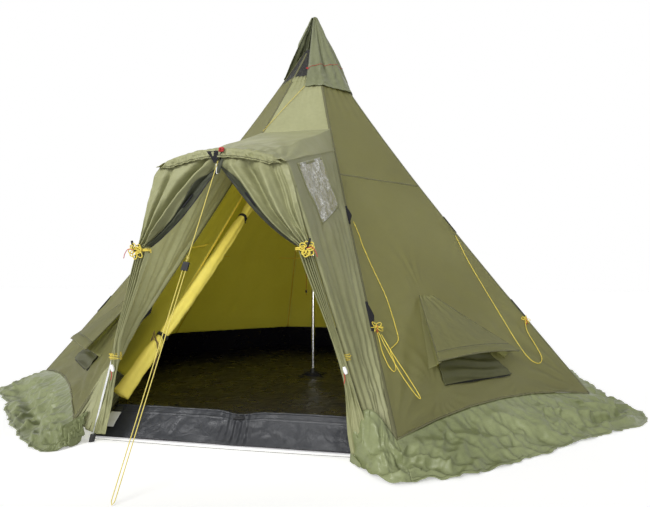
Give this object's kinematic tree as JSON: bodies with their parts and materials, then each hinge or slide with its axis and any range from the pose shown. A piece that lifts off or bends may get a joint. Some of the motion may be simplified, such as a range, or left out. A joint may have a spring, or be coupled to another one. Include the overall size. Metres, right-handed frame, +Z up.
{
  "type": "tipi tent",
  "caption": "Octagonal tipi tent on a centre pole, with an open arched porch, tied-back door curtains, snow skirts, hooded vents, inner tent and guy lines.",
  "frame": {"origin": "on the ground, under the centre pole", "axes": "+Z up along the centre pole, -Y out of the door through the porch, +X to the right of somebody who looks in at the door"},
  "size_m": [3.5768, 3.7703, 2.4929],
  "materials": {
    "shell": "matte coated polyester",
    "skirt": "satin coated polyester",
    "inner": "matte breathable polyester",
    "floor": "satin laminated floor cloth",
    "threshold": "satin laminated floor cloth",
    "net": "fine netting",
    "pole": "satin drawn tube",
    "rubber": "matte",
    "webbing": "woven webbing",
    "plastic": "moulded",
    "white_plastic": "moulded",
    "clear": "clear flexible sheet",
    "yellow_cord": "braided",
    "red_cord": "braided",
    "grey_cord": "braided"
  },
  "bodies": {
    "tent": {"bathtub_floor": "floor", "centre_pole_upper": "pole", "curtain_tie_left": "yellow_cord", "curtain_tie_right": "yellow_cord", "door_curtain_left": "shell", "door_curtain_right": "shell", "door_threshold": "threshold", "front_panel": "shell", "guy_bridle": "webbing", "guy_line_lower": "yellow_cord", "guy_line_upper": "yellow_cord", "hood_guy_line": "yellow_cord", "hood_tie_cord": "red_cord", "inner_door_roll": "inner", "inner_tent": "inner", "leg_pocket_left": "webbing", "leg_pocket_right": "webbing", "leg_spacing_cord": "grey_cord", "panel_back": "shell", "panel_back_left": "shell", "panel_back_right": "shell", "panel_front_left": "shell", "panel_front_right": "shell", "panel_left": "shell", "panel_right": "shell", "peak_hood": "shell", "peak_mesh": "net", "peak_plate": "webbing", "pole_foot_cup": "rubber", "pole_top_cap": "rubber", "porch_arch_bar": "pole", "porch_leg_left": "pole", "porch_leg_right": "pole", "porch_roof": "shell", "porch_side_left": "shell", "porch_side_right": "shell", "porch_window": "clear", "side_guy_front": "yellow_cord", "side_guy_rear": "yellow_cord", "snow_skirt_back": "skirt", "snow_skirt_back_left": "skirt", "snow_skirt_back_right": "skirt", "snow_skirt_front_left": "skirt", "snow_skirt_front_right": "skirt", "snow_skirt_left": "skirt", "snow_skirt_right": "skirt", "vent_gusset_left_front": "shell", "vent_gusset_left_rear": "shell", "vent_gusset_right_front": "shell", "vent_gusset_right_rear": "shell", "vent_mesh_left": "net", "vent_mesh_right": "net", "vent_pull_cord": "red_cord"},
    "lower_pole": {"centre_pole_lower": "pole"},
    "right_vent": {"vent_flap_right": "shell"},
    "left_vent": {"vent_flap_left": "shell"},
    "slider": {"guy_slider": "plastic"},
    "toggle": {"cord_toggle": "plastic"},
    "pull": {"zip_pull": "white_plastic"}
  },
  "joints": [
    {"name": "pole_telescope", "type": "slide", "parent": "tent", "child": "lower_pole", "axis": [0, 0, 1], "range_m": [0, 0.11]},
    {"name": "right_vent_flap", "type": "hinge", "parent": "tent", "child": "right_vent", "pos_m": [0.74404, -0.92789, 0.57333], "axis": [0.7071, 0.7071, 0], "range_deg": [0, 10.5], "deforming": ["vent_gusset_right_front", "vent_gusset_right_rear"]},
    {"name": "left_vent_flap", "type": "hinge", "parent": "tent", "child": "left_vent", "pos_m": [-0.74404, -0.92789, 0.57333], "axis": [0.7071, -0.7071, 0], "range_deg": [0, 10.5], "deforming": ["vent_gusset_left_front", "vent_gusset_left_rear"]},
    {"name": "guy_slider_run", "type": "slide", "parent": "tent", "child": "slider", "axis": [-0.1345, -0.3068, -0.9422], "range_m": [0, 0.3]},
    {"name": "toggle_run", "type": "slide", "parent": "tent", "child": "toggle", "axis": [0.0133, 0, 0.9999], "range_m": [0, 0.4]},
    {"name": "zip_pull_swing", "type": "hinge", "parent": "tent", "child": "pull", "pos_m": [-0.008, -1.6054, 1.062], "axis": [-1, 0, 0], "range_deg": [0, 30]}
  ]
}
